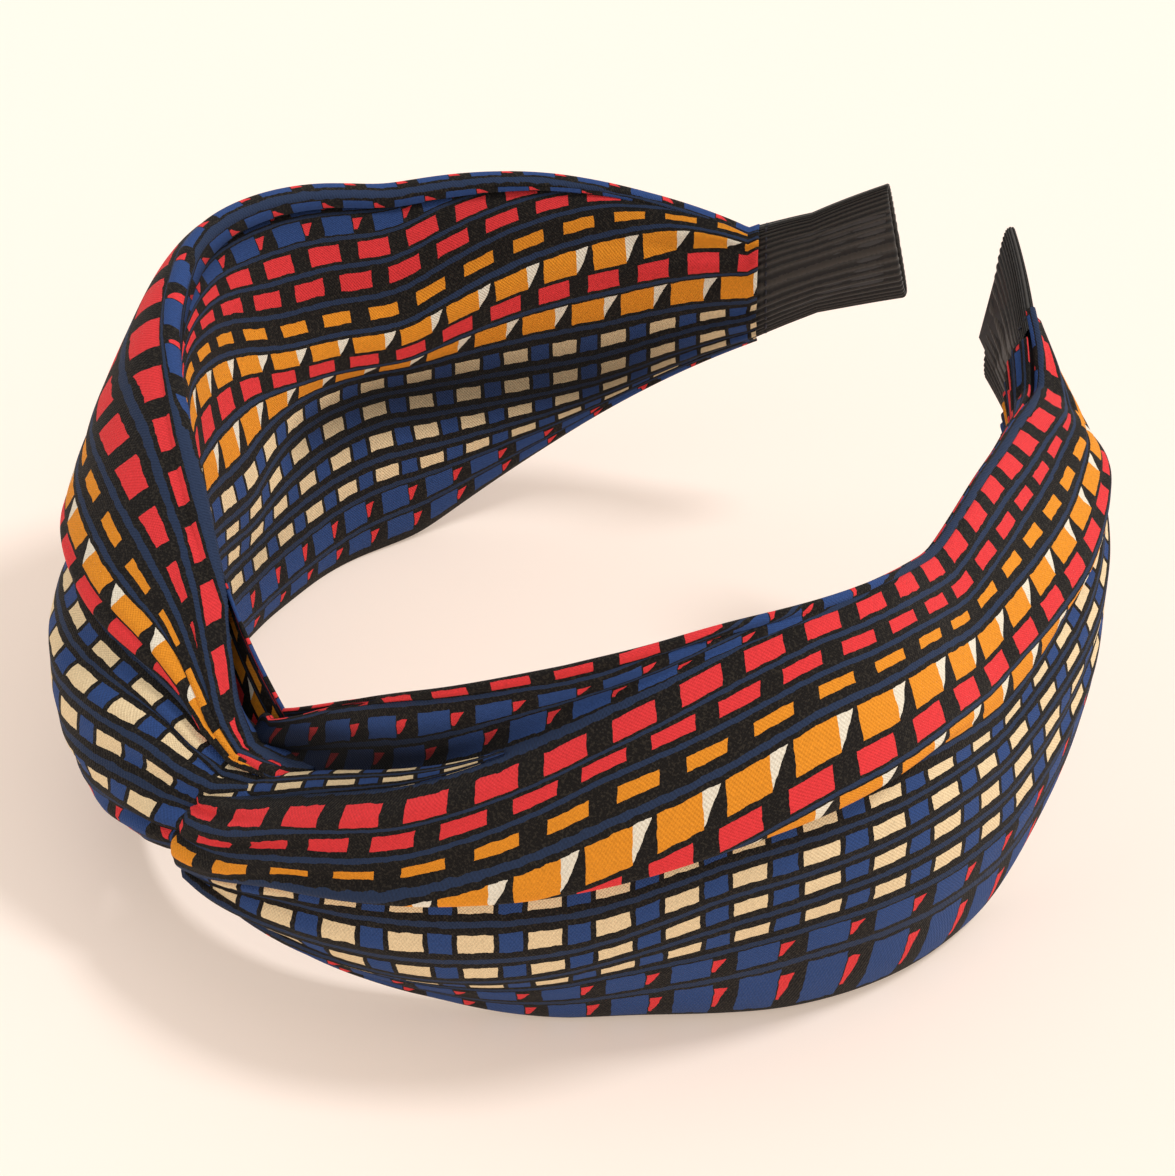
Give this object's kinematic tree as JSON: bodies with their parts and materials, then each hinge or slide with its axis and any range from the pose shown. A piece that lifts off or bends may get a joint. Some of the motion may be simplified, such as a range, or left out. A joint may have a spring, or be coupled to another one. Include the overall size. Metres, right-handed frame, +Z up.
{
  "type": "knotted headband",
  "caption": "Wide fabric-covered headband on a springy open hoop, with an interlooped knot in front and knitted end sleeves at the tips.",
  "frame": {"origin": "centre of the bounding box at the surface that the lower edges stand on", "axes": "+Z up from that surface; -Y towards the knot, the front of the band; +Y towards the open gap between the tips; the right arm is on +X"},
  "size_m": [0.161, 0.1706, 0.0718],
  "materials": {
    "printed_cloth": "plain-weave cotton blend printed with rows of dashes in red, orange, cream and blue on black",
    "ribbed_knit": "black rib knit with a slight sheen",
    "thread": "black sewing thread",
    "hoop_plastic": "moulded black plastic"
  },
  "bodies": {
    "crown": {"hoop_crown": "hoop_plastic", "crown_lining": "printed_cloth", "knot_loop_left": "printed_cloth", "knot_loop_right": "printed_cloth", "knot_tacking": "thread"},
    "left_arm": {"hoop_left": "hoop_plastic", "inner_panel_left": "printed_cloth", "outer_panel_left": "printed_cloth", "topstitch_left": "thread", "end_sleeve_left": "ribbed_knit", "sleeve_stitch_left": "ribbed_knit"},
    "right_arm": {"hoop_right": "hoop_plastic", "inner_panel_right": "printed_cloth", "outer_panel_right": "printed_cloth", "topstitch_right": "thread", "end_sleeve_right": "ribbed_knit", "sleeve_stitch_right": "ribbed_knit"}
  },
  "joints": [
    {"name": "left_arm_flex", "type": "hinge", "parent": "crown", "child": "left_arm", "pos_m": [-0.02861, -0.06189, 0.028], "axis": [0.1049, 0.2069, 0.9727], "range_deg": [-3, 12], "stiffness_Nm_per_rad": 1.65},
    {"name": "right_arm_flex", "type": "hinge", "parent": "crown", "child": "right_arm", "pos_m": [0.02921, -0.06189, 0.02859], "axis": [0.0431, -0.085, -0.9954], "range_deg": [-3, 12], "stiffness_Nm_per_rad": 1.65}
  ]
}
